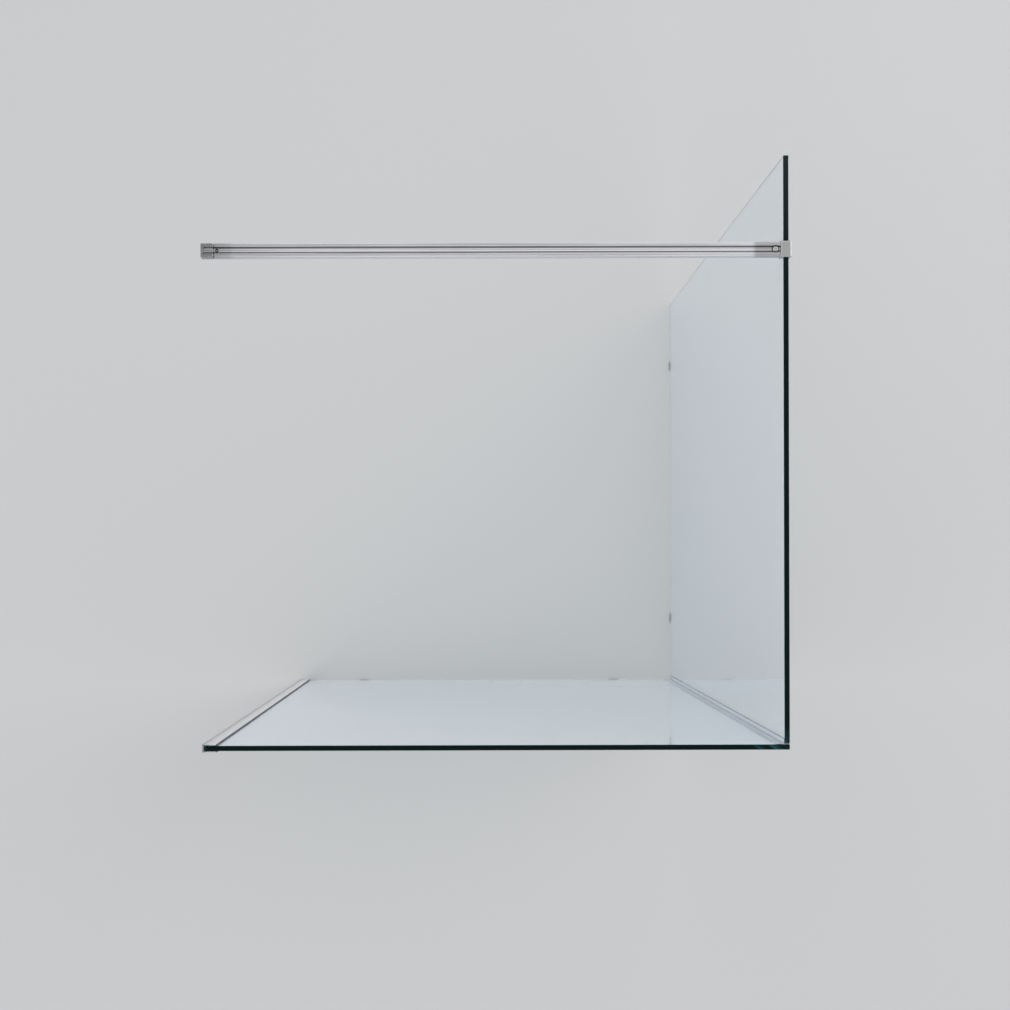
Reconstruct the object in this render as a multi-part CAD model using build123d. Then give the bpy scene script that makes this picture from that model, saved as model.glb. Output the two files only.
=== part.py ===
# Walk-in shower enclosure: two fixed panes of 8 mm safety glass that meet at a right angle, a slim
# wall channel on the front pane and a grooved stabiliser bar from the wall to the side pane.
# Setting-out frame used while modelling, in millimetres: X = 0 is the finished wall and X grows
# into the room, Y = 0 is the outer face of the front pane and Y grows towards the way in, Z = 0 is
# the floor. Every piece is moved at the end so that the origin lies on the floor under the middle
# of the whole enclosure.
from build123d import *
import os

os.makedirs("parts", exist_ok=True)

# Enclosure and panes
wall_to_outer_face = 890.0     # finished wall to the outer face of the side pane
side_length = 900.0            # outer face of the front pane to the free end of the side pane
glass_height = 1996.0
glass_thickness = 8.0
arris = 0.7                    # polished chamfer on every edge of the glass
block_height = 4.0             # setting blocks that carry the panes off the floor
block_length = 20.0
block_inset = 145.0            # pane end to the middle of its setting block
block_chamfer = 0.6

# Wall channel and its gaskets
channel_depth = 21.0
channel_web = 2.4
channel_lip = 1.2
channel_edge = 0.5             # rounding of the long outer edges
channel_relief_width = 7.0     # shallow recess along the back, so that it sits on two rails
channel_relief_depth = 0.4
glass_engagement = 15.4        # how far the front pane stands inside the channel
gasket_strip = 0.5             # thickness of the gasket between lip and glass
gasket_reach = 7.0             # how far the gasket runs into the channel
gasket_head = 1.6              # bead that hooks over the end of the lip
gasket_lift = 2.0              # gaskets stop this far above the floor
running_gap = 0.3              # free gap between the wall fittings and what slides in them
adjust_in = 1.0                # the panes can still go this far towards the wall
cut_past = 1.0                 # cutters run this far past the faces they open
channel_screw_rise = 120.0     # floor to the lowest wall screw
channel_screw_count = 4
channel_screw_bore = 5.0
channel_screw_head = 8.6       # countersink diameter

# Glass corner
butt_seal = 2.0                # clear strip between the end of the side pane and the front pane
butt_seal_setback = 0.8
corner_leg_front = 12.0        # leg of the clear corner angle on the front pane
corner_leg_side = 9.0          # leg on the side pane
corner_skin = 1.4
corner_fillet = 2.6

# Stabiliser bar
bar_width = 21.0
bar_height = 25.0
bar_wall = 1.8
bar_edge = 1.0
bar_end_chamfer = 0.4
bar_groove_width = 9.6         # rounded groove along the top of the bar
bar_groove_depth = 4.0
bar_from_free_end = 142.0      # free end of the side pane to the middle of the bar
bar_below_clamp = 0.5          # top of the glass clamp to the top of the bar
pocket_diameter = 11.0         # round pocket for the cap screw, a little wider than the groove
pocket_depth = 0.6             # and this much deeper
snug_gap = 0.1                 # gap of what is pushed into the bar and of screws in their holes
bush_wall = 1.2                # plastic guide bush in the wall end of the bar
bush_length = 30.0
bush_setback = 0.5
wall_screw_from_end = 3.8      # wall end of the bar to its set screw
wall_screw_sink = 0.2          # the set screw lies this much below the floor of the groove
clamp_screw_from_face = 7.6    # face of the glass clamp to the cap screw
cap_screw_bore = 5.0
cap_screw_length = 8.0
cap_screw_head = 8.6
cap_screw_head_height = 2.8
cap_screw_rim = 0.6
cap_screw_key = 3.0            # across the flats of the hexagon socket
cap_screw_key_depth = 1.5

# Wall holder of the bar
plate_thickness = 4.0
plate_edge = 0.5
plate_boss_length = 8.0        # boss on the plate that carries the holder
plate_boss_width = 12.0
plate_boss_height = 15.4
plate_screw_spacing = 8.0
plate_screw_bore = 4.2
plate_screw_head = 7.0
holder_length = 15.0
holder_edge = 0.8
holder_spigot = 26.0           # part of the holder that stands inside the bar

# Set screws
set_screw_diameter = 5.0
set_screw_key = 2.5
set_screw_key_depth = 1.6
set_screw_chamfer = 0.5

# Glass clamp at the other end of the bar
clamp_wall = 3.5
clamp_cap = 3.0
clamp_width = 25.0
clamp_height = 27.0
clamp_edge = 2.0
clamp_liner = 1.0              # plastic liner between clamp and glass
clamp_liner_margin = 0.5
clamp_spigot = 24.0            # part of the clamp that stands inside the bar
clamp_screw_spacing = 11.0
clamp_screw_drop = 17.0        # top of the clamp to its set screws

# Places worked out from the sizes above
glass_bottom = block_height
glass_top = glass_bottom + glass_height
front_start = channel_depth - glass_engagement
side_inner_face = wall_to_outer_face - glass_thickness
side_start = glass_thickness + butt_seal
channel_half_gap = glass_thickness / 2 + gasket_strip + running_gap
channel_half_width = channel_half_gap + channel_lip
front_middle = glass_thickness / 2
clamp_inner_x = side_inner_face - clamp_liner - clamp_wall
clamp_outer_x = wall_to_outer_face + clamp_liner + clamp_wall
clamp_top = glass_top + clamp_liner + clamp_cap
clamp_bottom = clamp_top - clamp_height
bar_y = side_length - bar_from_free_end
bar_top = clamp_top - bar_below_clamp
bar_bottom = bar_top - bar_height
boss_middle = (bar_top - bar_groove_depth + bar_bottom) / 2
boss_low = boss_middle - plate_boss_height / 2
boss_high = boss_middle + plate_boss_height / 2
boss_end = plate_thickness + plate_boss_length
holder_face = plate_thickness + holder_length
bar_start = holder_face + running_gap + adjust_in
holder_screw_x = plate_thickness + plate_boss_length / 2
wall_screw_x = bar_start + wall_screw_from_end
clamp_screw_x = clamp_inner_x - clamp_screw_from_face
pocket_floor = bar_top - bar_groove_depth - pocket_depth
core_width = bar_width - 2 * bar_wall
core_top = bar_top - bar_groove_depth - bar_wall
core_bottom = bar_bottom + bar_wall

# Overall box, for the move to the final origin
x_mid = clamp_outer_x / 2
y_mid = (side_length + front_middle - channel_half_width) / 2
home = Pos(-x_mid, -y_mid, 0)


def block(x0, x1, y0, y1, z0, z1):
    """Rectangular block between two opposite corners."""
    middle = Pos((x0 + x1) / 2, (y0 + y1) / 2, (z0 + z1) / 2)
    return middle * Box(x1 - x0, y1 - y0, z1 - z0)


def upright(points, z0, z1):
    """Profile drawn in plan and carried straight up from z0 to z1."""
    face = make_face(Polyline(*points, close=True))
    return extrude(Pos(0, 0, z0) * face, amount=z1 - z0)


def save(name, *solids):
    """Moves the solids to the final origin and writes them as one named piece."""
    moved = [home * solid for body in solids for solid in body.solids()]
    shape = moved[0] if len(moved) == 1 else Compound(children=moved)
    shape.label = name
    export_step(shape, f"parts/{name}.step")


def countersunk_hole(bore, head, depth):
    """Cutter along +Z: a through bore of the given depth with a 90 degree countersink on top."""
    sink = (head - bore) / 2
    cone = Pos(0, 0, -sink / 2) * Cone(bore / 2, head / 2, sink)
    return Pos(0, 0, -depth / 2) * Cylinder(bore / 2, 2 * depth) + cone


def hexagon(across_flats, depth):
    """Hexagonal key recess whose mouth is at Z = 0."""
    return extrude(RegularPolygon(across_flats / 2, 6, major_radius=False), amount=-depth)


def set_screw(length):
    """Grub screw along Z with its key recess at Z = 0 and its tip at Z = -length."""
    body = Pos(0, 0, -length / 2) * Cylinder(set_screw_diameter / 2, length)
    body = chamfer(body.edges().filter_by(GeomType.CIRCLE), set_screw_chamfer)
    return body - hexagon(set_screw_key, set_screw_key_depth)


def cap_screw():
    """Low cap screw along Z: the head stands on Z = 0 and the shank goes down."""
    head = Pos(0, 0, cap_screw_head_height / 2) * Cylinder(cap_screw_head / 2, cap_screw_head_height)
    rim = head.edges().filter_by(GeomType.CIRCLE).sort_by(Axis.Z)[-1]
    head = chamfer(rim, cap_screw_rim)
    shank = Pos(0, 0, -cap_screw_length / 2) * Cylinder(cap_screw_bore / 2, cap_screw_length)
    recess = Pos(0, 0, cap_screw_head_height) * hexagon(cap_screw_key, cap_screw_key_depth)
    return head + shank - recess


def groove_cutter(x0, x1):
    """Rounded groove along the top of the bar: the part of a long cylinder below the bar's top."""
    half = bar_groove_width / 2
    radius = (half ** 2 + bar_groove_depth ** 2) / (2 * bar_groove_depth)
    axis_z = bar_top - bar_groove_depth + radius
    middle = Pos((x0 + x1) / 2, bar_y, axis_z)
    return middle * Rot(0, 90, 0) * Cylinder(radius, x1 - x0)


# Wall channel: a U extrusion that stands on the floor with its back on the wall
def make_wall_channel():
    low = front_middle - channel_half_width
    high = front_middle + channel_half_width
    gap_low = front_middle - channel_half_gap
    gap_high = front_middle + channel_half_gap
    body = block(0, channel_depth, low, high, 0, glass_top)
    corners = body.edges().filter_by(Axis.Z).group_by(Axis.X)[-1]
    body = fillet(corners, channel_edge)
    body -= block(channel_web, channel_depth + cut_past, gap_low, gap_high,
                  -cut_past, glass_top + cut_past)
    relief_half = channel_relief_width / 2
    body -= block(-cut_past, channel_relief_depth, front_middle - relief_half,
                  front_middle + relief_half, -cut_past, glass_top + cut_past)
    pitch = (glass_top - 2 * channel_screw_rise) / (channel_screw_count - 1)
    for index in range(channel_screw_count):
        place = Pos(channel_web, front_middle, channel_screw_rise + index * pitch)
        cutter = countersunk_hole(channel_screw_bore, channel_screw_head, channel_web)
        body -= place * Rot(0, 90, 0) * cutter
    return body


def make_channel_gasket(side):
    """Gasket on one lip: a thin strip beside the glass and a bead over the end of the lip."""
    def y(distance):
        return front_middle + side * distance
    glass_side = glass_thickness / 2 + running_gap
    tip = channel_depth + gasket_head
    points = [
        (channel_depth - gasket_reach, y(glass_side)),
        (tip - gasket_head / 2, y(glass_side)),
        (tip, y(glass_side + gasket_head / 2)),
        (tip, y(channel_half_width - gasket_head / 3)),
        (tip - gasket_head / 3, y(channel_half_width)),
        (channel_depth, y(channel_half_width)),
        (channel_depth, y(channel_half_gap)),
        (channel_depth - gasket_reach, y(channel_half_gap)),
    ]
    return upright(points, gasket_lift, glass_top)


# Panes
def make_pane(x0, x1, y0, y1):
    pane = block(x0, x1, y0, y1, glass_bottom, glass_top)
    return chamfer(pane.edges(), arris)


def make_setting_block(x, y, along_x):
    size_x = block_length if along_x else glass_thickness
    size_y = glass_thickness if along_x else block_length
    body = Pos(x, y, block_height / 2) * Box(size_x, size_y, block_height)
    return chamfer(body.edges().filter_by(Axis.Z), block_chamfer)


# Corner seals
def make_butt_seal():
    return block(side_inner_face + butt_seal_setback, wall_to_outer_face - butt_seal_setback,
                 glass_thickness, side_start, glass_bottom, glass_top)


def make_corner_angle():
    """Clear angle strip in the inner corner, with a rounded root and thinned leg ends."""
    root_x = side_inner_face
    root_y = glass_thickness
    points = [
        (root_x, root_y),
        (root_x, root_y + corner_leg_side),
        (root_x - corner_skin / 2, root_y + corner_leg_side),
        (root_x - corner_skin, root_y + corner_leg_side - corner_skin),
        (root_x - corner_skin, root_y + corner_skin),
        (root_x - corner_leg_front + corner_skin, root_y + corner_skin),
        (root_x - corner_leg_front, root_y + corner_skin / 2),
        (root_x - corner_leg_front, root_y),
    ]
    body = upright(points, glass_bottom, glass_top)
    inner = body.edges().filter_by(Axis.Z).sort_by(
        lambda e: abs(e.center().X - root_x + corner_skin) + abs(e.center().Y - root_y - corner_skin))
    return fillet(inner[0], corner_fillet)


# Stabiliser bar: tube with a rounded groove along its top
def bar_outline(x0, x1):
    """Solid stretch of the bar's outer section between two stations, with its groove."""
    body = block(x0, x1, bar_y - bar_width / 2, bar_y + bar_width / 2, bar_bottom, bar_top)
    body = fillet(body.edges().filter_by(Axis.X), bar_edge)
    return body - groove_cutter(x0 - cut_past, x1 + cut_past)


def core_block(x0, x1, gap):
    """Block that fills the inside of the bar between two stations, with a gap all round."""
    return block(x0, x1, bar_y - core_width / 2 + gap, bar_y + core_width / 2 - gap,
                 core_bottom + gap, core_top - gap)


def make_bar():
    body = bar_outline(bar_start, clamp_inner_x)
    ends = body.faces().sort_by(Axis.X)
    body = chamfer([e for face in (ends[0], ends[-1]) for e in face.edges()], bar_end_chamfer)
    body -= core_block(bar_start - cut_past, clamp_inner_x + cut_past, 0)
    pocket = Cylinder(pocket_diameter / 2, 2 * (bar_top - pocket_floor))
    body -= Pos(clamp_screw_x, bar_y, bar_top) * pocket
    for x, bore in ((wall_screw_x, set_screw_diameter), (clamp_screw_x, cap_screw_bore)):
        body -= Pos(x, bar_y, core_top) * Cylinder(bore / 2 + snug_gap, 4 * bar_wall)
    return body


def make_bar_bush():
    """Thin plastic sleeve inside the wall end of the bar, in which the holder's spigot slides."""
    start = bar_start + bush_setback
    bush = core_block(start, start + bush_length, snug_gap)
    bush -= core_block(start - cut_past, start + bush_length + cut_past, snug_gap + bush_wall)
    hole = Cylinder(set_screw_diameter / 2 + snug_gap, 4 * bush_wall)
    return bush - Pos(wall_screw_x, bar_y, core_top) * hole


def make_bar_wall_screw():
    """Set screw in the groove, with its tip just short of the holder's spigot."""
    top = bar_top - bar_groove_depth - wall_screw_sink
    tip = core_top - snug_gap - bush_wall
    return Pos(wall_screw_x, bar_y, top) * set_screw(top - tip)


def make_bar_clamp_screw():
    return Pos(clamp_screw_x, bar_y, pocket_floor) * cap_screw()


# Wall holder: a plate on the wall and a block with a spigot that is pushed onto it
def make_holder_plate():
    half = bar_width / 2
    plate = block(0, plate_thickness, bar_y - half, bar_y + half, bar_bottom, bar_top)
    plate = fillet(plate.edges().filter_by(Axis.X), bar_edge)
    plate = chamfer(plate.faces().sort_by(Axis.X)[-1].edges(), plate_edge)
    boss_half = plate_boss_width / 2
    plate += block(0, boss_end, bar_y - boss_half, bar_y + boss_half, boss_low, boss_high)
    for side in (-1, 1):
        place = Pos(boss_end, bar_y, boss_middle + side * plate_screw_spacing / 2)
        cutter = countersunk_hole(plate_screw_bore, plate_screw_head, boss_end)
        plate -= place * Rot(0, 90, 0) * cutter
    return plate


def make_wall_holder():
    """Block with the bar's outline, a socket for the boss behind it and the spigot in front."""
    body = bar_outline(plate_thickness, holder_face)
    body = fillet(body.faces().sort_by(Axis.X)[-1].edges(), holder_edge)
    socket_half = plate_boss_width / 2 + snug_gap
    socket_end = boss_end + snug_gap
    body -= block(0, socket_end, bar_y - socket_half, bar_y + socket_half,
                  boss_low - snug_gap, boss_high + snug_gap)
    spigot = core_block(socket_end, holder_face + holder_spigot, snug_gap + bush_wall + running_gap)
    body += chamfer(spigot.faces().sort_by(Axis.X)[-1].edges(), bar_edge)
    hole = Cylinder(set_screw_diameter / 2 + snug_gap, 2 * (boss_low - bar_bottom))
    return body - Pos(holder_screw_x, bar_y, bar_bottom) * hole


def make_holder_set_screw():
    """Set screw under the holder that grips the boss of the plate."""
    place = Pos(holder_screw_x, bar_y, bar_bottom) * Rot(180, 0, 0)
    return place * set_screw(boss_low - bar_bottom)


# Glass clamp: a fork over the top edge of the side pane, with a spigot into the bar
def make_glass_clamp():
    half = clamp_width / 2
    body = block(clamp_inner_x, clamp_outer_x, bar_y - half, bar_y + half, clamp_bottom, clamp_top)
    body = fillet(body.edges(), clamp_edge)
    body -= block(side_inner_face - clamp_liner, wall_to_outer_face + clamp_liner,
                  bar_y - half - cut_past, bar_y + half + cut_past,
                  clamp_bottom - cut_past, glass_top + clamp_liner)
    spigot = core_block(clamp_inner_x - clamp_spigot, clamp_inner_x + clamp_wall / 2, snug_gap)
    spigot = chamfer(spigot.faces().sort_by(Axis.X)[0].edges(), bar_edge)
    body += spigot
    screw_hole = Cylinder(cap_screw_bore / 2 + snug_gap, 2 * (cap_screw_length + snug_gap))
    body -= Pos(clamp_screw_x, bar_y, pocket_floor) * screw_hole
    for side in (-1, 1):
        place = Pos(clamp_outer_x, bar_y + side * clamp_screw_spacing / 2, clamp_top - clamp_screw_drop)
        radius = set_screw_diameter / 2 + snug_gap
        body -= place * Rot(0, 90, 0) * Cylinder(radius, 2 * clamp_wall)
    return body


def make_clamp_liner():
    half = clamp_width / 2 - clamp_liner_margin
    body = block(side_inner_face - clamp_liner, wall_to_outer_face + clamp_liner,
                 bar_y - half, bar_y + half, clamp_bottom + clamp_liner_margin, glass_top + clamp_liner)
    return body - block(side_inner_face, wall_to_outer_face,
                        bar_y - half - cut_past, bar_y + half + cut_past, clamp_bottom, glass_top)


def make_clamp_set_screws():
    screws = []
    for side in (-1, 1):
        place = Pos(clamp_outer_x, bar_y + side * clamp_screw_spacing / 2, clamp_top - clamp_screw_drop)
        screws.append(place * Rot(0, 90, 0) * set_screw(clamp_wall))
    return screws


# Write every piece
save("wall_channel", make_wall_channel())
save("channel_inner_gasket", make_channel_gasket(1))
save("channel_outer_gasket", make_channel_gasket(-1))
save("front_glass", make_pane(front_start, wall_to_outer_face, 0, glass_thickness))
save("side_glass", make_pane(side_inner_face, wall_to_outer_face, side_start, side_length))
save("front_setting_blocks",
     make_setting_block(front_start + block_inset, front_middle, True),
     make_setting_block(wall_to_outer_face - block_inset, front_middle, True))
side_middle = wall_to_outer_face - glass_thickness / 2
save("side_setting_blocks",
     make_setting_block(side_middle, side_start + block_inset, False),
     make_setting_block(side_middle, side_length - block_inset, False))
save("corner_butt_seal", make_butt_seal())
save("corner_angle_seal", make_corner_angle())
save("stabiliser_bar", make_bar())
save("bar_wall_plug", make_bar_bush())
save("bar_wall_screw", make_bar_wall_screw())
save("bar_clamp_screw", make_bar_clamp_screw())
save("holder_wall_plate", make_holder_plate())
save("wall_holder", make_wall_holder())
save("holder_set_screw", make_holder_set_screw())
save("glass_clamp", make_glass_clamp())
save("clamp_liner", make_clamp_liner())
save("clamp_set_screws", *make_clamp_set_screws())
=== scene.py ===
# %% [markdown]
# # A walk-in shower enclosure, dressed for its picture
# The construction is already there: two panes of 8 mm glass, a wall channel, a stabiliser bar and
# the small fittings that join them. This lesson gives every one of those pieces its real finish,
# adds the fine surfaces that a construction model leaves out, and sets up the floor, the light
# and the camera. The real enclosure is almost nothing but glass, so most of the work is in how
# light passes through it and gets caught in its edges.

import math

import bpy
import numpy as np
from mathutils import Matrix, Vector


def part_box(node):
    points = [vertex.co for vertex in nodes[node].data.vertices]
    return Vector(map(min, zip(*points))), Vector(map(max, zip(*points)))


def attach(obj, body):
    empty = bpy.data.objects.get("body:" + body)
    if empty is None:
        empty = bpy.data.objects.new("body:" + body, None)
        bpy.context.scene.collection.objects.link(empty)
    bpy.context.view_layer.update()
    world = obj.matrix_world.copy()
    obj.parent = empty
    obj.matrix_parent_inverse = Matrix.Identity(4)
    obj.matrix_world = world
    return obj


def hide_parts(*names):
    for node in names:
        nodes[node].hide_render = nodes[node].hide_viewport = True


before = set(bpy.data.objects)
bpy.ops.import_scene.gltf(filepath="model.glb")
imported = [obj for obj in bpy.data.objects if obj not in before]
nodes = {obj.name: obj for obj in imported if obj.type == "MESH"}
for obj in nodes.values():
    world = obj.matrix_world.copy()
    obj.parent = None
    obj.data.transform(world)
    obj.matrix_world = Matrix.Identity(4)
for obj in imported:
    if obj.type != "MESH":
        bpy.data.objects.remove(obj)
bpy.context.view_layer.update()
print("pieces from the construction:", len(nodes))

# %% [markdown]
# ## The few places that everything else refers to
# All further places are read from the construction's own boxes, so a changed pane or bar needs no
# change here. The back plane is the back of the wall channel, the front face is the outer face of
# the front pane, and the floor is at zero.

# %% Reference places
front_box = [np.array(corner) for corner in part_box("front_glass")]
side_box = [np.array(corner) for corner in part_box("side_glass")]
bar_box = [np.array(corner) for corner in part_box("stabiliser_bar")]
back_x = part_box("wall_channel")[0][0]
front_y = front_box[0][1]
glass_top = side_box[1][2]
print("back plane at x", round(back_x, 4), "- outer face at y", round(front_y, 4))
print("panes reach", round(glass_top, 4), "m above the floor")

# %% [markdown]
# ## The camera
# The picture is taken from straight above with a longish lens. Horizontal edges at one height all
# keep one scale, and every upright edge runs towards the one point that lies right below the
# camera. The scale at the top of the panes against the scale on the floor gives the camera's
# height, and the point below the camera isn't in the middle of the picture, so the lens is
# shifted rather than tilted.

# %% Camera above the enclosure
picture_px = 1010
top_scale = 0.001514                      # metres a pixel at the top of the glass
floor_scale = 0.002385                    # metres a pixel on the floor
below_camera_px = (472.0, 566.0)          # the point right below the camera, in pixels
back_px = 201.6                           # the back plane at the top of the glass, in pixels
front_px = 750.5                          # the front pane's outer face there, in pixels
roll = math.radians(-0.15)                # the picture is turned by this much
sensor_width = 36.0                       # millimetres, only the ratio to the lens matters
far_limit = 200.0                         # nothing further off than this is drawn, in metres

camera_height = glass_top * floor_scale / (floor_scale - top_scale)
focal_px = camera_height / floor_scale
camera_x = back_x + (below_camera_px[0] - back_px) * top_scale
camera_y = front_y + (front_px - below_camera_px[1]) * top_scale

camera_data = bpy.data.cameras.new("camera")
camera_data.sensor_width = sensor_width
camera_data.lens = focal_px / picture_px * sensor_width
camera_data.shift_x = (picture_px / 2 - below_camera_px[0]) / picture_px
camera_data.shift_y = (below_camera_px[1] - picture_px / 2) / picture_px
camera_data.clip_end = far_limit
camera = bpy.data.objects.new("camera", camera_data)
camera.location = (camera_x, camera_y, camera_height)
camera.rotation_euler = (0.0, 0.0, roll)
bpy.context.collection.objects.link(camera)
bpy.context.scene.camera = camera
print("camera", round(camera_height, 3), "m up, lens", round(camera_data.lens, 1), "mm")

# %% [markdown]
# ## Nodes in one line
# Every finish below is a small network of shader nodes. It could be drawn by hand in the shader
# editor, but written out it can be read and changed in one place. A few helpers keep it short: one
# makes a material and hands back its main shader, one adds a node and links whatever feeds it, and
# the others make the groups of nodes that most finishes share.

# %% Helpers for finishes
def node_of_kind(material, kind):
    """The first node of one kind in a material."""
    return next(node for node in material.node_tree.nodes if node.type == kind)


def new_finish(name):
    """A material with the default nodes: returns it, its tree, and its Principled shader."""
    material = bpy.data.materials.new(name)
    material.use_nodes = True
    return material, material.node_tree, node_of_kind(material, "BSDF_PRINCIPLED")


def add(tree, kind, links=(), **values):
    """Adds a node: values set its properties, or its sockets by name; links feed sockets."""
    node = tree.nodes.new(kind)
    for key, value in values.items():
        if hasattr(node, key):
            setattr(node, key, value)
        else:
            node.inputs[key.replace("_", " ")].default_value = value
    for socket, source in links:
        tree.links.new(source, node.inputs[socket])
    return node


def coordinate_parts(tree, kind):
    """X, Y and Z of one kind of coordinate: the place in the piece, or the surface's direction."""
    where = add(tree, "ShaderNodeTexCoord")
    return add(tree, "ShaderNodeSeparateXYZ", [("Vector", where.outputs[kind])]).outputs


def object_noise(tree, grain, detail, stretch=(1.0, 1.0, 1.0)):
    """Cloudy noise in the piece's own coordinates, stretched along each axis."""
    where = add(tree, "ShaderNodeTexCoord")
    place = add(tree, "ShaderNodeMapping", [("Vector", where.outputs["Object"])], Scale=stretch)
    noise = add(tree, "ShaderNodeTexNoise", [("Vector", place.outputs[0])], Scale=grain, Detail=detail)
    return noise.outputs[0]


def noise_between(tree, noise, low, high):
    """The middle part of a noise, spread out between two levels."""
    level = add(tree, "ShaderNodeMapRange", [("Value", noise)],
                From_Min=0.3, From_Max=0.7, To_Min=low, To_Max=high)
    return level.outputs[0]


def colour_ramp(tree, source, stops):
    """Colour that follows one value, with stops as (position, (red, green, blue)) pairs."""
    ramp = add(tree, "ShaderNodeValToRGB", [("Fac", source)])
    elements = ramp.color_ramp.elements
    while len(elements) < len(stops):
        elements.new(0.5)
    for element, (position, colour) in zip(elements, stops):
        element.position = position
        element.color = (*colour, 1.0)
    return ramp.outputs[0]


def mixed(tree, share, first, second):
    """One of two plain colours, or a mix of both, by a share between zero and one."""
    mix = add(tree, "ShaderNodeMixRGB", [("Fac", share)])
    mix.inputs["Color1"].default_value = (*first, 1.0)
    mix.inputs["Color2"].default_value = (*second, 1.0)
    return mix.outputs[0]


def arithmetic(tree, operation, first, second=None):
    """One sum on two values; each is a socket or a plain number."""
    node = add(tree, "ShaderNodeMath", operation=operation)
    for socket, value in zip(node.inputs, (first, second)):
        if isinstance(value, (int, float)):
            socket.default_value = value
        elif value is not None:
            tree.links.new(value, socket)
    return node.outputs[0]


print("helpers for the finishes are ready")

# %% [markdown]
# ## Glass
# Clear float glass looks colourless face on and nearly black on its edges, because light that
# enters an edge is caught between the two faces and travels the whole height of the pane before it
# comes out. So the faces get no colour. The shader is clear, and the body of the glass absorbs a
# little, red more than green and blue. On a real screen there is always a trace of dried water,
# which can't be seen face on and turns the pane milky where the eye skims along it. The sheen of
# the shader does just that. It is switched off on the inner side of the surface, where it would
# light up the body of the glass.
#
# The narrow polished edges of a pane are its green parts. An edge is where the surface doesn't face
# across the pane, so its finish goes by one part of the surface's own direction: light that passes
# there is tinted green, and a small share of green is painted on as a glow, a painted light that
# stands in for the light a real edge sends out after its long way through the pane.

# %% Clear and green parts of the glass
white, black = (1.0, 1.0, 1.0), (0.0, 0.0, 0.0)
# Green of the polished edges: it tints light through them and is painted on them as a glow.
painted_edge_green = (0.05, 0.42, 0.42)
body_green = (0.25, 0.8, 0.78)            # what is left of the light in the body of the glass
body_density = 4.0                        # how fast it is taken away, a metre
edge_clearness = 0.986                    # the rest is a painted green glow
film_blue = (0.80, 0.88, 1.0)             # the dried water's milky tint
film_softness = 0.4                       # spread of the sheen
film_clouds, film_detail = 1.6, 2.0       # faint clouds in a metre, and how often they break up


def colour_glass(tree, shader, across, edge_below):
    """Tints the polished edges green, paints a green glow on them, and leaves the faces clear.

    Across is the axis that runs through the pane. A surface is an edge where its direction has less
    than edge_below of that axis, so with edge_below at zero nothing is an edge.
    """
    facing = arithmetic(tree, "ABSOLUTE", coordinate_parts(tree, "Normal")[across])
    edge = arithmetic(tree, "LESS_THAN", facing, edge_below)
    tree.links.new(mixed(tree, edge, white, painted_edge_green), shader.inputs["Base Color"])
    clear = add(tree, "ShaderNodeMapRange", [("Value", edge)], To_Min=1.0, To_Max=edge_clearness)
    tree.links.new(clear.outputs[0], shader.inputs["Transmission Weight"])


def add_water_film(tree, shader, haze):
    """Milky sheen in faint clouds, between the two weights of haze, on the outer side only."""
    shader.inputs["Sheen Roughness"].default_value = film_softness
    shader.inputs["Sheen Tint"].default_value = (*film_blue, 1.0)
    film = noise_between(tree, object_noise(tree, film_clouds, film_detail), *haze)
    surface = add(tree, "ShaderNodeNewGeometry")
    outside = arithmetic(tree, "SUBTRACT", 1.0, surface.outputs["Backfacing"])
    weight = arithmetic(tree, "MULTIPLY", film, outside)
    tree.links.new(weight, shader.inputs["Sheen Weight"])


print("glass edges are tinted", painted_edge_green, "and its body", body_green)

# %% [markdown]
# Light has to get through the panes onto the floor too. Glass blocks the more light the flatter
# the light meets it, so the part that is let through falls with the fifth power of that slant. The
# same rule holds for a lamp's shadow and for the soft light that the floor gathers from all round,
# so that no light is counted twice. A thin strip that lies on the glass takes no light of its own
# away, so for the clear seal the rule bites only at the very flattest angles.

# %% Clear glass
pass_tint = (0.95, 0.962, 0.962)          # a lamp's light behind a pane that it meets square on
glass_ior, vinyl_ior = 1.52, 1.5


def let_light_through(tree, shader, fall):
    """Shadow and diffuse rays pass straight on, less slant ** fall of their light."""
    slant = add(tree, "ShaderNodeLayerWeight", Blend=0.5)
    blocked = arithmetic(tree, "POWER", slant.outputs["Facing"], fall)
    passed = mixed(tree, blocked, pass_tint, black)
    straight = add(tree, "ShaderNodeBsdfTransparent", [("Color", passed)])
    rays = add(tree, "ShaderNodeLightPath")
    passing = arithmetic(tree, "MAXIMUM", rays.outputs["Is Shadow Ray"], rays.outputs["Is Diffuse Ray"])
    return add(tree, "ShaderNodeMixShader", [
        (0, passing), (1, shader.outputs[0]), (2, straight.outputs[0])]).outputs[0]


def make_glass(name, ior, across=0, edge_below=0.5, fall=5.0, haze=(0.38, 0.48)):
    """Clear shader with green edges, absorption in the body and a film of dried water."""
    material, tree, shader = new_finish(name)
    shader.inputs["IOR"].default_value = ior
    shader.inputs["Roughness"].default_value = 0.0
    colour_glass(tree, shader, across, edge_below)
    add_water_film(tree, shader, haze)
    output = node_of_kind(material, "OUTPUT_MATERIAL")
    tree.links.new(let_light_through(tree, shader, fall), output.inputs["Surface"])
    body = add(tree, "ShaderNodeVolumeAbsorption", Color=(*body_green, 1.0), Density=body_density)
    tree.links.new(body.outputs[0], output.inputs["Volume"])
    return material


front_pane_glass = make_glass("front_pane_glass", glass_ior, across=1)
side_pane_glass = make_glass("side_pane_glass", glass_ior, across=0)
butt_vinyl = make_glass("clear_butt_vinyl", vinyl_ior, edge_below=0.0)
strip_vinyl = make_glass("clear_strip_vinyl", vinyl_ior, edge_below=0.0, fall=60.0, haze=(0.54, 0.66))
print("made", front_pane_glass.name, side_pane_glass.name, butt_vinyl.name, strip_vinyl.name)

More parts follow.
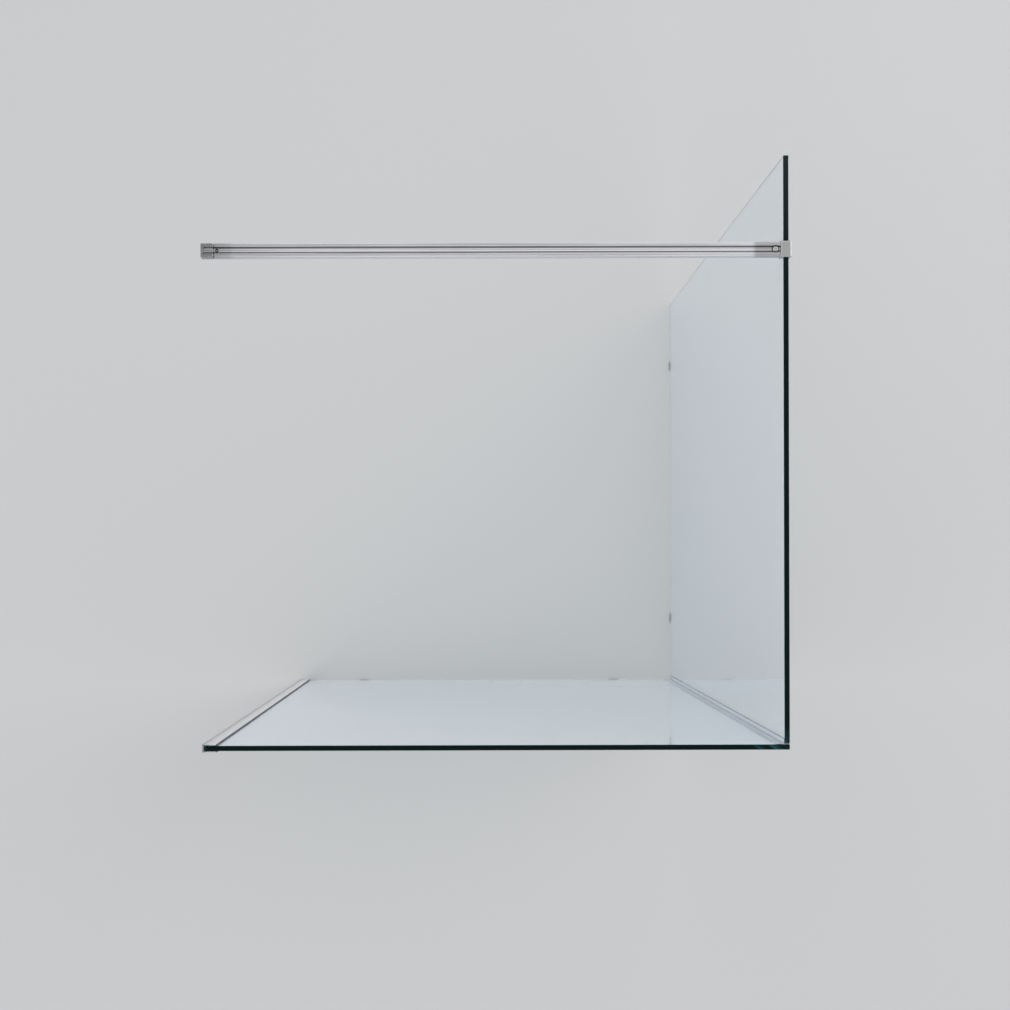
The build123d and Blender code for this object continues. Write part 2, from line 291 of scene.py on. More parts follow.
# %% [markdown]
# ## Bright aluminium
# The channel and the bar are extrusions, so their surface has faint lines along the length from
# the die. Noise that is stretched some two hundred times along the profile makes those lines, once
# for each direction that a profile runs. It varies the roughness, the colour and the height alike.

# %% Extruded aluminium
lines_across, lines_along = 900.0, 4.0    # changes of the noise in a metre
line_height = 0.0002                      # metres from valley to ridge before it is weakened
line_strength = 0.12
line_smooth, line_rough = 0.24, 0.36      # roughness in the valleys and on the ridges


def raise_grain(tree, shader, noise, strength):
    """Lets a noise lift and lower the surface a little."""
    bump = add(tree, "ShaderNodeBump", [("Height", noise)], Strength=strength, Distance=line_height)
    tree.links.new(bump.outputs[0], shader.inputs["Normal"])


def make_extrusion(name, along, dull, bright):
    """Metal with fine die lines along one axis, whose colour runs from dull to bright."""
    material, tree, shader = new_finish(name)
    stretch = [lines_across, lines_across, lines_across]
    stretch[along] = lines_along
    lines = object_noise(tree, 1.0, 3.0, tuple(stretch))
    roughness = noise_between(tree, lines, line_smooth, line_rough)
    tree.links.new(roughness, shader.inputs["Roughness"])
    tint = colour_ramp(tree, lines, [(0.0, (dull, dull * 0.994, dull)),
                                     (1.0, (bright, bright * 0.994, bright))])
    tree.links.new(tint, shader.inputs["Base Color"])
    raise_grain(tree, shader, lines, line_strength)
    shader.inputs["Metallic"].default_value = 1.0
    return material


print("die lines are", lines_across / lines_along, "times as long as they are wide")

# %% [markdown]
# Both profiles carry painted shade in some places. A colour ramp over one coordinate of the
# piece says where, and it is multiplied with the die lines. The channel's painted shade is nil at
# its lips and deepens towards its back, darkest in a thin line right at the wall.

# %% Finish of the channel
# Painted shade on the channel: its level by the distance from the back, where one is no shade.
painted_shade_off_back = [(0.0, 0.36), (0.003, 0.6), (0.007, 0.87), (0.014, 1.0)]   # metres, level


def level_along(tree, source, low, high, stops):
    """Grey level over one coordinate: low and high in metres, stops as (metres, level) pairs."""
    share = add(tree, "ShaderNodeMapRange", [("Value", source)], From_Min=low, From_Max=high)
    return colour_ramp(tree, share.outputs[0], [
        ((where - low) / (high - low), (level, level, level * 1.01)) for where, level in stops])


def multiply_colour(tree, shader, painted_shade_levels):
    """Multiplies the colour that a shader already has by one more colour socket."""
    socket = shader.inputs["Base Color"]
    before = socket.links[0].from_socket
    product = add(tree, "ShaderNodeMixRGB", [("Color1", before), ("Color2", painted_shade_levels)], Fac=1.0,
                  blend_type="MULTIPLY")
    tree.links.new(product.outputs[0], socket)


def make_channel_finish():
    """Extruded aluminium with painted shade that deepens towards its back edge."""
    material = make_extrusion("channel_aluminium", 2, 0.95, 1.0)
    tree = material.node_tree
    lip_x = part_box("wall_channel")[1][0]
    stops = [(back_x + distance, level) for distance, level in painted_shade_off_back]
    painted_shade_levels = level_along(tree, coordinate_parts(tree, "Object")["X"], back_x, lip_x, stops)
    multiply_colour(tree, node_of_kind(material, "BSDF_PRINCIPLED"), painted_shade_levels)
    return material


channel_metal = make_channel_finish()
print("made", channel_metal.name)

# %% [markdown]
# The bar needs more painted shade. The flanks of its groove are painted dark, the side away from
# the way in most of all, and near both fittings the bar is painted darker. Both are bands in the
# bar's own coordinates. Across the bar one ramp runs from edge to edge, and along the bar a second
# ramp runs from end to end. A third ramp goes by the distance from the cap screw and paints shade
# into its pocket.

# %% Finish of the bar
pocket_radius = 0.0055                    # round pocket that takes the head of the cap screw


def extent(name):
    """Lowest corner, highest corner and centre of a node's box, as arrays."""
    low, high = (np.array(corner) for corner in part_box(name))
    return low, high, (low + high) / 2


def painted_shade_across(tree, y):
    """Painted shade across the bar: none on the shoulders, deep on either flank of the groove, slight
    on its floor.
    """
    low, high, mid = extent("stabiliser_bar")
    lip, flank, floor_edge, fade = 0.0051, 0.0027, 0.0014, 0.0003
    dark, half_dark, floor_level = 0.32, 0.58, 0.84
    return level_along(tree, y, low[1], high[1], [
        (mid[1] - lip, 1.0), (mid[1] - lip + fade, half_dark), (mid[1] - flank, half_dark),
        (mid[1] - floor_edge, floor_level), (mid[1] + floor_edge, floor_level),
        (mid[1] + flank, dark), (mid[1] + lip - fade, dark), (mid[1] + lip, 1.0)])


def painted_shade_along(tree, x):
    """Painted shade that deepens towards the wall end, and a sharply bounded band of it before the
    clamp.
    """
    start, end = bar_box[0][0], bar_box[1][0]
    spigot_end, grey_end, bright_from = 0.024, 0.028, 0.12
    clamp_zone, sharp = 0.04, 0.0005
    return level_along(tree, x, start, end, [
        (start, 0.55), (start + spigot_end, 0.7), (start + grey_end, 0.82), (start + bright_from, 1.0),
        (end - clamp_zone - sharp, 1.0), (end - clamp_zone + sharp, 0.62)])


def painted_pocket_shade(tree, x, y):
    """Painted shade inside the pocket, by the level distance from the middle of the cap screw."""
    mid = extent("bar_clamp_screw")[2]
    reach, sharp = 0.02, 0.0005
    level_place = add(tree, "ShaderNodeCombineXYZ", [("X", x), ("Y", y)])
    distance = add(tree, "ShaderNodeVectorMath", [(0, level_place.outputs[0])], operation="DISTANCE")
    distance.inputs[1].default_value = (mid[0], mid[1], 0.0)
    return level_along(tree, distance.outputs["Value"], 0.0, reach, [
        (pocket_radius, 0.16), (pocket_radius + sharp, 1.0)])


def make_bar_finish():
    """Extruded aluminium times painted shade across the bar, along it and round a pocket."""
    material = make_extrusion("bar_aluminium", 0, 0.79, 0.93)
    tree, shader = material.node_tree, node_of_kind(material, "BSDF_PRINCIPLED")
    parts = coordinate_parts(tree, "Object")
    multiply_colour(tree, shader, painted_shade_across(tree, parts["Y"]))
    multiply_colour(tree, shader, painted_shade_along(tree, parts["X"]))
    multiply_colour(tree, shader, painted_pocket_shade(tree, parts["X"], parts["Y"]))
    return material


bar_metal = make_bar_finish()
print("made", bar_metal.name)

# %% [markdown]
# ## Castings, screws, rubber and plastics
# The other pieces share one recipe: a fine all-round grain that varies the roughness, the tint and
# the height of the surface. A separate network for each would be no better, because what tells
# them apart is the numbers: a casting is metal with a satin skin, and rubber is dark and dull.

# %% Fine-grained finishes
def make_plain(name, colour, metallic, low, high, grain, bump_strength):
    """Finish with a fine all-round grain: roughness runs between low and high."""
    material, tree, shader = new_finish(name)
    noise = object_noise(tree, grain, 4.0)
    tree.links.new(noise_between(tree, noise, low, high), shader.inputs["Roughness"])
    tint = colour_ramp(tree, noise, [(0.0, [part * 0.9 for part in colour]),
                                     (1.0, [min(part * 1.08, 1.0) for part in colour])])
    tree.links.new(tint, shader.inputs["Base Color"])
    raise_grain(tree, shader, noise, bump_strength)
    shader.inputs["Metallic"].default_value = metallic
    return material


casting = make_plain("satin_chrome_casting", (0.46, 0.47, 0.465), 1.0, 0.28, 0.38, 900.0, 0.1)
dark_casting = make_plain("dull_holder_casting", (0.32, 0.32, 0.325), 1.0, 0.26, 0.38, 700.0, 0.12)
steel = make_plain("stainless_screw", (0.55, 0.55, 0.545), 1.0, 0.22, 0.34, 1500.0, 0.08)
black_steel = make_plain("blackened_screw", (0.06, 0.06, 0.065), 1.0, 0.3, 0.42, 1500.0, 0.08)
rubber = make_plain("dark_gasket", (0.05, 0.05, 0.055), 0.0, 0.45, 0.7, 1200.0, 0.3)
block_plastic = make_plain("block_plastic", (0.07, 0.072, 0.075), 0.0, 0.4, 0.6, 800.0, 0.2)
print("made", casting.name, steel.name, rubber.name, block_plastic.name)

# %% [markdown]
# ## Clear vinyl
# The strips between the panes and along the inner corner are clear bodies like the glass, and were
# made with it. Two other finishes are plain surfaces that cover a share of what is behind them. The
# thin liner of the clamp hardly covers anything, and the thicker ribs of the corner seal are painted
# grey, a painted shade for the darkening that their thick clear vinyl shows.

# %% Two vinyls
def make_vinyl(name, colour, alpha):
    """Soft clear strip with a fine grain, which covers what is behind it by the share alpha."""
    material = make_plain(name, colour, 0.0, 0.18, 0.3, 260.0, 0.05)
    node_of_kind(material, "BSDF_PRINCIPLED").inputs["Alpha"].default_value = alpha
    return material


vinyl = make_vinyl("clear_vinyl", (0.74, 0.76, 0.79), 0.03)
# The ribs of the corner seal: clear vinyl with a dark grey painted shade.
painted_shade_rib_vinyl = make_vinyl("vinyl_rib_painted_shade", (0.16, 0.17, 0.19), 0.7)
print("made", vinyl.name, "and", painted_shade_rib_vinyl.name)

# %% [markdown]
# ## Which node wears what
# Pieces whose shape is already right only change their finish. The list goes by the names of the
# construction, so every piece is seen to be dressed.

# %% Dress the nodes
finishes = {
    "front_glass": front_pane_glass, "side_glass": side_pane_glass,
    "wall_channel": channel_metal, "stabiliser_bar": bar_metal,
    "holder_wall_plate": dark_casting, "wall_holder": dark_casting, "glass_clamp": casting,
    "holder_set_screw": steel, "bar_wall_screw": steel, "bar_clamp_screw": steel,
    "clamp_set_screws": steel,
    "channel_inner_gasket": rubber, "channel_outer_gasket": rubber,
    "front_setting_blocks": block_plastic, "side_setting_blocks": block_plastic,
    "bar_wall_plug": block_plastic,
    "corner_butt_seal": butt_vinyl, "corner_angle_seal": vinyl, "clamp_liner": vinyl,
}
for name, finish in finishes.items():
    nodes[name].data.materials.clear()
    nodes[name].data.materials.append(finish)
print("finished", len(finishes), "pieces")

# %% [markdown]
# ## From a grid of points to a piece
# All new pieces below are surfaces on a grid: rows of points, each row a closed ring. One helper
# joins neighbouring rows with four-sided faces, closes both ends, turns the faces outwards and
# hands the piece to the body that carries it. Which way the faces point shows in the enclosed
# volume: it comes out negative when they point inwards.

# %% Grid helper
def ring_faces(rings, around, looped):
    """Corner numbers of the four-sided faces between neighbouring rings, as one array.

    A looped grid also joins its last ring to its first, like a tyre.
    """
    last = rings if looped else rings - 1
    ring, step = np.meshgrid(np.arange(last), np.arange(around), indexing="ij")
    above, after = (ring + 1) % rings, (step + 1) % around
    quads = np.stack([ring * around + step, ring * around + after,
                      above * around + after, above * around + step], axis=-1)
    return quads.reshape(-1, 4)


def enclosed_volume(points, quads):
    """Sum over all faces of the pyramids from the origin: corner dot cross product, by six."""
    a, b, c, d = (points[quads[:, k]] for k in range(4))
    return float(np.sum(a * np.cross(b, c)) + np.sum(a * np.cross(c, d))) / 6.0


def add_piece(name, grids, finish, body, replaces=(), crease=40.0, looped=False):
    """Makes one mesh of several ring grids, closes their ends and lets it ride on its body."""
    points, faces, first = [], [], 0
    for grid in grids:
        rings, around = grid.shape[:2]
        flat = grid.reshape(-1, 3)
        quads = ring_faces(rings, around, looped)
        turned_in = enclosed_volume(flat - flat.mean(axis=0), quads) < 0.0
        faces += ((quads[:, ::-1] if turned_in else quads) + first).tolist()
        if not looped:
            low_end = list(range(first, first + around))
            high_end = [corner + (rings - 1) * around for corner in low_end]
            faces += [low_end, high_end[::-1]] if turned_in else [low_end[::-1], high_end]
        points.append(flat)
        first += len(flat)
    mesh = bpy.data.meshes.new(name)
    mesh.from_pydata(np.concatenate(points).tolist(), [], faces)
    mesh.polygons.foreach_set("use_smooth", np.ones(len(mesh.polygons), bool))
    mesh.set_sharp_from_angle(angle=math.radians(crease))
    mesh.materials.append(finish)
    piece = bpy.data.objects.new(name, mesh)
    bpy.context.collection.objects.link(piece)
    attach(piece, body)
    if replaces:
        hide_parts(*replaces)
    print("made", name, "with", len(mesh.polygons), "faces")


print("one square of a tyre of 3 by 4 corners:", ring_faces(3, 4, looped=True)[0].tolist())

# %% [markdown]
# ## The stabiliser bar
# The bar is a tube, so its surface runs along the outside, turns in at one end, comes back along
# the inside and closes at the other end, like a stretched tyre. The outer section is a rectangle
# with rounded corners and a groove along the top. The groove is part of a circle, and points on it
# are spaced by angle, so the steep flanks get as many points as the floor. Two round sinks are cut
# from above: a pocket for the cap screw and a hole for the set screw. A sink is simply a place
# where the surface lies at the depth of the sink instead of the depth of the groove.

# %% Bar section
bar_width, bar_height = bar_box[1][1] - bar_box[0][1], bar_box[1][2] - bar_box[0][2]
bar_wall, bar_corner, core_corner = 0.0018, 0.0010, 0.0003
groove_half, groove_depth = 0.0048, 0.0040
groove_radius = (groove_half ** 2 + groove_depth ** 2) / (2 * groove_depth)
groove_points, shoulder_points, corner_points = 61, 22, 7


def arc(centre_x, centre_y, radius, start, end, count):
    """Points on a circle from one angle to another, in degrees."""
    turn = np.radians(np.linspace(start, end, count))
    return np.stack([centre_x + radius * np.cos(turn), centre_y + radius * np.sin(turn)], axis=1)


def section(half_width, top, bottom, radius, top_y, top_z):
    """Closed outline y, z: four rounded corners, straight sides, and the given points on top."""
    side, high, low = half_width - radius, top - radius, bottom + radius
    corners = [(side, high, 0.0), (-side, high, 90.0), (-side, low, 180.0), (side, low, 270.0)]
    rounded = [arc(y, z, radius, start, start + 90.0, corner_points)[:-1] for y, z, start in corners]
    return np.concatenate([rounded[0], np.stack([top_y[::-1], top_z[::-1]], axis=1), *rounded[1:]])


def groove_depth_at(y):
    """How far the groove lies below the top of the bar: part of a circle, or nothing beside it."""
    below_centre = np.sqrt(np.maximum(groove_radius ** 2 - y ** 2, 0.0))
    return np.where(np.abs(y) < groove_half, below_centre - (groove_radius - groove_depth), 0.0)


steepest = math.asin(groove_half / groove_radius)
groove_y = groove_radius * np.sin(np.linspace(-steepest, steepest, groove_points))
shoulder_y = np.linspace(groove_half, bar_width / 2 - bar_corner, shoulder_points)[1:]
top_y = np.concatenate([-shoulder_y[::-1], groove_y, shoulder_y])
print("groove radius", round(groove_radius * 1000, 2), "mm")
print("its flanks rise at up to", round(math.degrees(steepest)), "degrees")

# %% [markdown]
# ## Along the bar
# The rings stand close together where the shape changes: at the chamfered ends and across the two
# sinks, where their places follow a cosine, so that the round rims come out round. Between them a
# straight bar needs hardly any.

# %% Bar surface
bar_start, bar_end = bar_box[0][0], bar_box[1][0]
bar_middle_y, bar_top = (bar_box[0][1] + bar_box[1][1]) / 2, bar_box[1][2]
end_chamfer = 0.0004
rim_step = 0.00002                        # a sink's side leans by this much, in metres
sink_rings, plain_rings, core_rings = 49, 12, 4
plain_inset = 0.02                        # from each end to the first of the plain rings
sinks = [                                 # place along the bar, radius, depth
    (extent("bar_wall_screw")[2][0], 0.0026, 0.0050),
    (extent("bar_clamp_screw")[2][0], pocket_radius, 0.0046),
]


def bar_stations():
    """Places along the bar: close together at the ends and across each sink, wide between."""
    stations = [bar_start, bar_start + end_chamfer, bar_end - end_chamfer, bar_end]
    for place, radius, _ in sinks:
        stations += list(place + radius * np.cos(np.linspace(0.0, np.pi, sink_rings)))
        stations += [place - radius - rim_step, place + radius + rim_step]
    stations += list(np.linspace(bar_start + plain_inset, bar_end - plain_inset, plain_rings))
    return sorted(stations)


def outer_ring(x):
    """The outer section at one place, with its sinks, drawn in where the bar is chamfered."""
    depth = groove_depth_at(top_y)
    for place, radius, sink_depth in sinks:
        inside = (x - place) ** 2 + top_y ** 2 <= radius ** 2
        depth = np.where(inside, np.maximum(depth, sink_depth), depth)
    at_end = min(x - bar_start, bar_end - x) < end_chamfer / 2
    shrink = end_chamfer if at_end else 0.0
    ring = section(bar_width / 2, 0.0, -bar_height, bar_corner, top_y, -depth)
    return ring * (1.0 - 2.0 * shrink / bar_width) + np.array([0.0, -shrink])


def core_ring():
    """The inner section: a plain rectangle one wall inside the bar and below its groove."""
    half = bar_width / 2 - bar_wall
    top, bottom = -groove_depth - bar_wall, -bar_height + bar_wall
    core_y = top_y * (half - core_corner) / top_y.max()
    return section(half, top, bottom, core_corner, core_y, np.full_like(core_y, top))


def bar_grid():
    """Outer rings from end to end, then inner rings back again; the loop is closed as a tyre."""
    rings = [(x, outer_ring(x)) for x in bar_stations()]
    rings += [(x, core_ring()) for x in np.linspace(bar_end, bar_start, core_rings)]
    grid = [np.column_stack([np.full(len(ring), x), ring]) for x, ring in rings]
    return np.array(grid) + np.array([0.0, bar_middle_y, bar_top])


add_piece("grooved_bar", [bar_grid()], bar_metal, "glazing",
          ["stabiliser_bar"], looped=True)

# %% [markdown]
# ## Screws
# A screw is turned on a lathe, so its surface is a radius that changes along the axis, carried all
# the way round. Two things break that roundness. The key recess is a hexagon: its radius is the
# distance to a straight side, one over the cosine of the angle from the middle of that side. The
# thread is a ridge that climbs one pitch in each turn, so the radius there also depends on the
# angle minus the height in pitches.

# %% Turned surface
def turned(stations, pitch, thread_depth, around=96):
    """Rings from stations of radius, height, hexness and threadness, closed near the axis.

    The radius at angle a and height z is r * (1 - hexness + hexness * hexagon(a)), less the thread
    depth times threadness times a triangle wave of a / full turn - z / pitch.
    """
    radius, height, hexness, threadness = (np.asarray(column)[:, None] for column in zip(*stations))
    angle = np.linspace(0.0, 2.0 * np.pi, around, endpoint=False)[None, :]
    from_side = (angle + np.pi / 6.0) % (np.pi / 3.0) - np.pi / 6.0
    hexagon = 1.0 / np.cos(from_side)
    turns = angle / (2.0 * np.pi) - height / pitch
    wave = 2.0 * np.abs(turns - np.floor(turns) - 0.5)
    out = radius * (1.0 - hexness + hexness * hexagon) - thread_depth * threadness * wave
    return np.stack([out * np.cos(angle), out * np.sin(angle), height + 0.0 * angle], axis=-1)


def threaded(radius, top, bottom, pitch, runout):
    """Stations down a thread, ten to each pitch, that fades in and out over its run-out."""
    count = int((top - bottom) / pitch * 10) + 2
    height = np.linspace(top, bottom, count)
    fade = np.clip(np.minimum(top - height, height - bottom) / runout, 0.0, 1.0)
    return [(radius, z, 0.0, f) for z, f in zip(height, fade)]


def laid(grid, origin, axis):
    """Turns a grid made along +Z so that +Z points along axis, and moves it to origin."""
    turn = np.array(Vector((0, 0, 1)).rotation_difference(Vector(axis)).to_matrix())
    return grid @ turn.T + np.asarray(origin)


corner_ratio = 1.0 / math.cos(math.pi / 6.0)
print("a hexagon's corner lies", round(corner_ratio, 4), "times as far out as its side")

# %% [markdown]
# ## Set screws
# Four small screws without a head press on something: one on the spigot inside the bar, one on the
# boss behind the holder and two on the glass. All have one shape, so one function makes them, and
# each takes its length, its place and its direction from the construction.

# %% Set screws
metric_pitch = 0.0008
thread_depth = 0.00045
centre = 0.00001                          # radius of the tiny ring that closes a surface on its axis


def set_screw_grid(radius, length, key_radius=0.00125, key_depth=0.0016, edge=0.0004):
    """A grub screw down from z = 0: key recess, chamfered rim, thread, blunt tip."""
    tip = -length
    stations = [(centre, -key_depth - edge / 2, 0, 0), (key_radius, -key_depth, 1, 0),
                (key_radius, -edge / 2, 1, 0), (key_radius + edge / 2, 0.0, 1, 0),
                (radius - edge, 0.0, 0, 0)]
    stations += threaded(radius, -edge, tip + edge, metric_pitch, edge)
    stations += [(radius - edge * 1.5, tip, 0, 0), (centre, tip, 0, 0)]
    return turned(stations, metric_pitch, thread_depth)


low, high, mid = extent("bar_wall_screw")
grid = set_screw_grid((high[0] - low[0]) / 2, high[2] - low[2])
add_piece("wall_end_set_screw", [laid(grid, (mid[0], mid[1], high[2]), (0, 0, 1))],
          black_steel, "glazing", ["bar_wall_screw"])

low, high, mid = extent("holder_set_screw")
grid = set_screw_grid((high[0] - low[0]) / 2, high[2] - low[2])
add_piece("holder_grub_screw", [laid(grid, (mid[0], mid[1], low[2]), (0, 0, -1))],
          steel, "wall_fittings", ["holder_set_screw"])

low, high, mid = extent("clamp_set_screws")
radius = (high[2] - low[2]) / 2
grid = set_screw_grid(radius, high[0] - low[0])
pair = [laid(grid, (high[0], y, mid[2]), (1, 0, 0)) for y in (low[1] + radius, high[1] - radius)]
add_piece("clamp_grub_screws", pair, steel, "glazing", ["clamp_set_screws"])

# %% [markdown]
# ## Cap screw
# The screw that holds the bar to the clamp has a low round head with a soft rim. The rim is a
# quarter circle, given by its angle, and everything else is straight stations.

# %% Cap screw
def cap_screw_grid(head_radius, shank_radius, top, bottom, seat):
    """Head from its key recess over a rounded rim to the seat, then a threaded shank."""
    key_radius, key_depth, rim, edge = 0.0015, 0.0016, 0.0009, 0.0003
    sweep = np.linspace(np.pi / 2, 0.0, 9)
    stations = [(centre, top - key_depth - edge, 0, 0), (key_radius, top - key_depth, 1, 0),
                (key_radius, top - edge, 1, 0), (key_radius + edge, top, 1, 0)]
    stations += [(head_radius - rim * (1 - np.cos(turn)), top - rim * (1 - np.sin(turn)), 0, 0)
                 for turn in sweep]
    stations += [(head_radius, seat + edge, 0, 0), (head_radius - edge, seat, 0, 0),
                 (shank_radius, seat, 0, 0)]
    stations += threaded(shank_radius, seat - edge, bottom + edge, metric_pitch, edge)
    stations += [(shank_radius - edge * 2, bottom, 0, 0), (centre, bottom, 0, 0)]
    return turned(stations, metric_pitch, thread_depth)


low, high, mid = extent("bar_clamp_screw")
head_height, shank_radius = 0.0028, 0.0025
grid = cap_screw_grid((high[0] - low[0]) / 2, shank_radius, high[2], low[2], high[2] - head_height)
add_piece("clamp_cap_screw", [grid + np.array([mid[0], mid[1], 0.0])],
          steel, "glazing", ["bar_clamp_screw"])

# %% [markdown]
# ## Gaskets of the channel
# The dark strip on each lip of the channel is pushed on, with a soft bead that closes over the end
# of the lip and a thin tongue between the lip and the glass. Its tongue has three small fins, so
# that it grips. One outline is drawn in the plane of the floor, and copies of it at two heights
# make the whole strip.

# %% Gasket outline
fin_depth, fin_count = 0.00012, 3
bead_power = 0.6                          # one would be round, nought would be square
lip_thickness = 0.0012


def gasket_outline(tip, root, lip_end, glass_side, lip_side, outer_side):
    """Closed outline: finned tongue along the glass, half-round bead over the lip, tongue's back.

    The fins are a sine along the tongue that only ever takes material away from the glass side.
    """
    along = np.linspace(root, lip_end, 61)
    turns = (along - root) / (lip_end - root) * fin_count
    depth = fin_depth * (1.0 - np.cos(2.0 * np.pi * turns)) / 2.0
    away = 1.0 if outer_side > glass_side else -1.0
    tongue = np.stack([along, glass_side + away * depth], axis=1)
    sweep = np.linspace(-np.pi / 2, np.pi / 2, 33)
    out = np.cos(sweep) ** bead_power
    aside = away * np.sign(np.sin(sweep)) * np.abs(np.sin(sweep)) ** bead_power
    middle_y, half = (glass_side + outer_side) / 2, abs(outer_side - glass_side) / 2
    bead = np.stack([lip_end + (tip - lip_end) * out, middle_y + half * aside], axis=1)
    back = np.array([[lip_end, outer_side], [lip_end, lip_side], [root, lip_side]])
    return np.concatenate([tongue[:-1], bead, back])


def carried_up(outline, heights):
    """The same outline at each height: rings of points x, y, z."""
    count = len(outline)
    rings = [np.concatenate([outline, np.full((count, 1), z)], axis=1) for z in heights]
    return np.stack(rings)


lip_end = extent("wall_channel")[1][0]
for name in ("channel_inner_gasket", "channel_outer_gasket"):
    low, high, mid = extent(name)
    inner = name == "channel_inner_gasket"
    glass_side, outer_side = (low[1], high[1]) if inner else (high[1], low[1])
    lip_side = outer_side - lip_thickness if inner else outer_side + lip_thickness
    outline = gasket_outline(high[0], low[0], lip_end, glass_side, lip_side, outer_side)
    add_piece(name + "_strip", [carried_up(outline, (low[2], high[2]))], rubber,
              "wall_fittings", [name])

# %% [markdown]
# ## Seals of the glass corner
# The clear angle in the inner corner is drawn in two kinds of vinyl. The two legs are thin and
# clear, and can hardly be seen. The root, with its hollow quarter circle, and the half-round rib at
# the end of the leg on the side pane are thicker, and their darker grey is a painted shade; they
# show as two fine dark lines from top to bottom. One outline in one finish would lose those lines,
# so each part has its own.

# %% Corner angle
low, high, mid = extent("corner_angle_seal")
skin, root, rib = 0.0006, 0.0010, 0.0009
off_glass = 0.00005                       # the strip is a hair's breadth off the panes
corner_x, corner_y = high[0] - off_glass, low[1] + off_glass
root_outline = np.concatenate([
    [[corner_x, corner_y], [corner_x, corner_y + root]],
    [[corner_x - skin, corner_y + root]],
    arc(corner_x - root, corner_y + root, root - skin, 0, -90, 13),
    [[corner_x - root, corner_y]],
])
rib_outline = np.concatenate([
    [[corner_x, high[1] - rib], [corner_x, high[1]]],
    arc(corner_x - skin * 0.8, high[1] - rib / 2, rib / 2, 90, 270, 13),
])
side_leg = np.array([[corner_x, corner_y + root], [corner_x, high[1] - rib],
                     [corner_x - skin, high[1] - rib], [corner_x - skin, corner_y + root]])
front_leg = np.concatenate([
    [[corner_x - root, corner_y], [corner_x - root, corner_y + skin]],
    arc(low[0] + skin, corner_y, skin, 90, 180, 9)])
ends = (low[2], high[2])
add_piece("corner_angle_legs", [carried_up(side_leg, ends), carried_up(front_leg, ends)],
          strip_vinyl, "glazing", ["corner_angle_seal"])
add_piece("corner_angle_ribs", [carried_up(root_outline, ends), carried_up(rib_outline, ends)],
          painted_shade_rib_vinyl, "glazing")
front_reach, side_reach = (high[0] - low[0]) * 1000, (high[1] - low[1]) * 1000
print("legs reach", round(front_reach, 1), "and", round(side_reach, 1), "mm")

# %% [markdown]
# ## Setting blocks
# The panes stand on small moulded blocks. A superellipse gives their soft outline: a rectangle whose
# corners are rounded by a power of sine and cosine, drawn in a little at the top and the bottom.

# %% Setting blocks
block_length, block_edge = 0.020, 0.0004
corner_power = 0.16                       # one would be an oval, nought a sharp rectangle


def soft_corner(value):
    """Pushes a sine or cosine out towards one, and keeps its sign."""
    return np.sign(value) * np.abs(value) ** corner_power


def block_grid(centre_x, centre_y, half_x, half_y, bottom, top):
    """Rings of a superellipse; each ring is drawn in by a quarter circle near the two ends."""
    angle = np.linspace(0.0, 2.0 * np.pi, 72, endpoint=False)
    sweep = np.linspace(np.pi / 2, 0.0, 5)
    from_end = block_edge * (1 - np.sin(sweep))
    near_end = block_edge * (1 - np.cos(sweep))
    heights = np.concatenate([bottom + from_end, top - from_end[::-1]])
    drawn_in = np.concatenate([near_end, near_end[::-1]])
    x = centre_x + soft_corner(np.cos(angle))[None, :] * (half_x - drawn_in[:, None])
    y = centre_y + soft_corner(np.sin(angle))[None, :] * (half_y - drawn_in[:, None])
    z = np.broadcast_to(heights[:, None], x.shape)
    return np.stack([x, y, z], axis=-1)


for name, along in (("front_setting_blocks", 0), ("side_setting_blocks", 1)):
    low, high, mid = extent(name)
    half = (high - low) / 2
    half[along] = block_length / 2
    grids = []
    for end in (low[along] + half[along], high[along] - half[along]):
        mid[along] = end
        grids.append(block_grid(mid[0], mid[1], half[0], half[1], low[2], high[2]))
    add_piece(name + "_moulded", grids, block_plastic, "glazing", [name])

# %% [markdown]
# ## Floor
# The enclosure stands on a plain pale disc that is far wider than the picture. It is nearly matt,
# so that it takes soft shadows and mirrors nothing.

# %% Floor
floor_radius, floor_corners = 30.0, 128
floor_grey = (0.48, 0.48, 0.485)


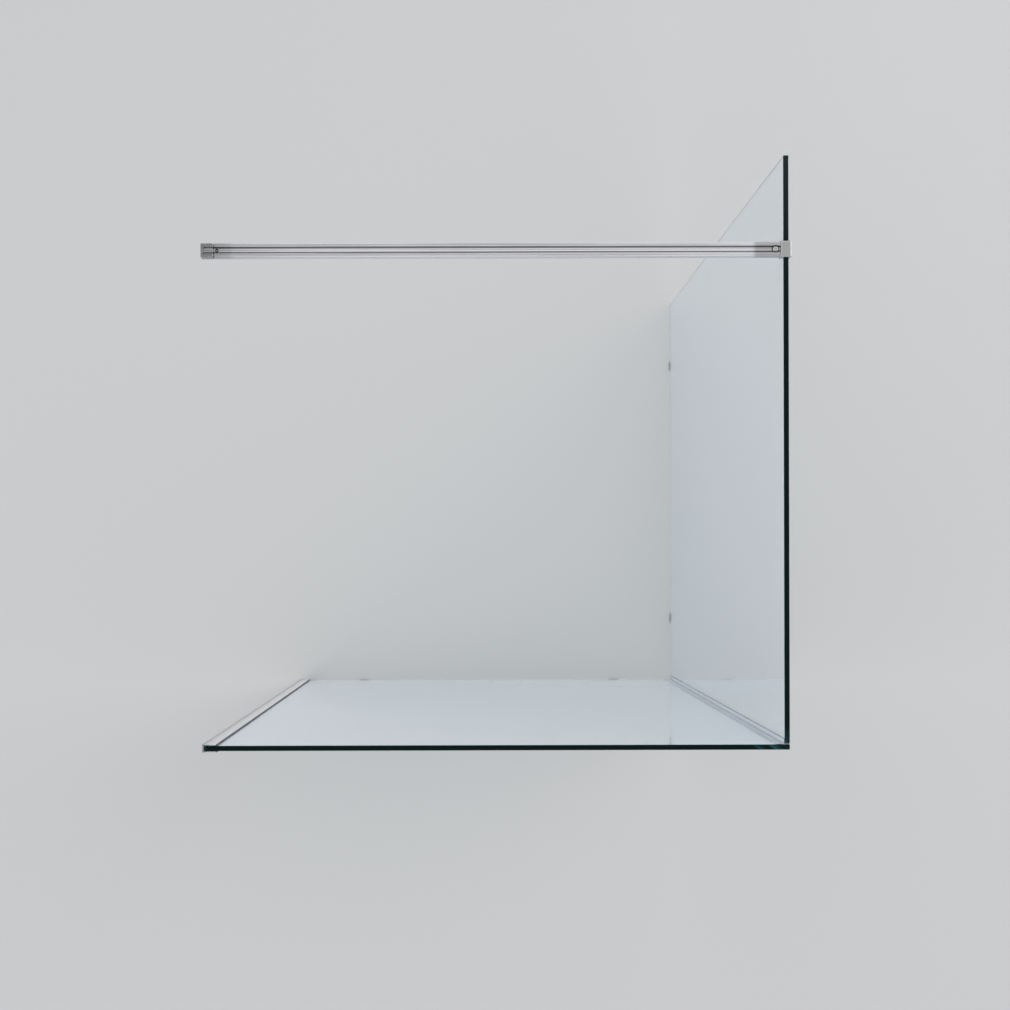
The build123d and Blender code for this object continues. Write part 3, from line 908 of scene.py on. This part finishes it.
def make_floor():
    """A plain pale disc under the enclosure."""
    rim = arc(0.0, 0.0, floor_radius, 0.0, 360.0, floor_corners + 1)[:-1]
    corners = [(x, y, 0.0) for x, y in rim]
    mesh = bpy.data.meshes.new("floor")
    mesh.from_pydata(corners, [], [list(range(floor_corners))])
    floor = bpy.data.objects.new("floor", mesh)
    bpy.context.collection.objects.link(floor)
    material, _, shader = new_finish("pale_floor")
    shader.inputs["Base Color"].default_value = (*floor_grey, 1.0)
    shader.inputs["Roughness"].default_value = 0.9
    shader.inputs["Specular IOR Level"].default_value = 0.1
    mesh.materials.append(material)


make_floor()
print("floor of", 2 * floor_radius, "m across")

# %% [markdown]
# ## Sky and lamps
# The light is an even dome, as in a white tent, with a dark round opening straight above, where a
# camera would look in. Everything that lies level mirrors that opening, which is what keeps the
# polished top edges of the glass dark. Two wide lamps stand well outside the opening, so that the
# level faces don't mirror them.

# %% Sky with its dark opening
sky_stops = [                             # height above the horizon as a sine, and the light there
    (0.05, (0.38, 0.385, 0.39)),
    (0.5, (1.02, 1.03, 1.05)),
    (0.955, (1.05, 1.0605, 1.071)),
    (0.985, (0.03, 0.0303, 0.0306)),
]


def make_sky():
    """Light by height above the horizon: dim low down, bright above, dark near straight up."""
    world = bpy.data.worlds.new("studio")
    bpy.context.scene.world = world
    world.use_nodes = True
    tree = world.node_tree
    light = colour_ramp(tree, coordinate_parts(tree, "Generated")["Z"], sky_stops)
    tree.links.new(light, tree.nodes["Background"].inputs["Color"])


def add_softbox(name, place, aim, size, power):
    """A square area lamp at place, turned towards aim, with size in metres and power in watts."""
    data = bpy.data.lights.new(name, "AREA")
    data.size = size
    data.energy = power
    lamp = bpy.data.objects.new(name, data)
    direction = Vector(aim) - Vector(place)
    lamp.rotation_euler = direction.to_track_quat("-Z", "Y").to_euler()
    lamp.location = place
    bpy.context.collection.objects.link(lamp)


waist = (0, 0, 1)                         # both lamps aim at the middle of the enclosure
make_sky()
add_softbox("right_lamp", place=(4.6, 2.4, 5.4), aim=waist, size=4.6, power=205)
add_softbox("left_lamp", place=(-4.8, -2.2, 4.8), aim=waist, size=4.0, power=105)
bpy.context.scene.view_settings.view_transform = "Standard"
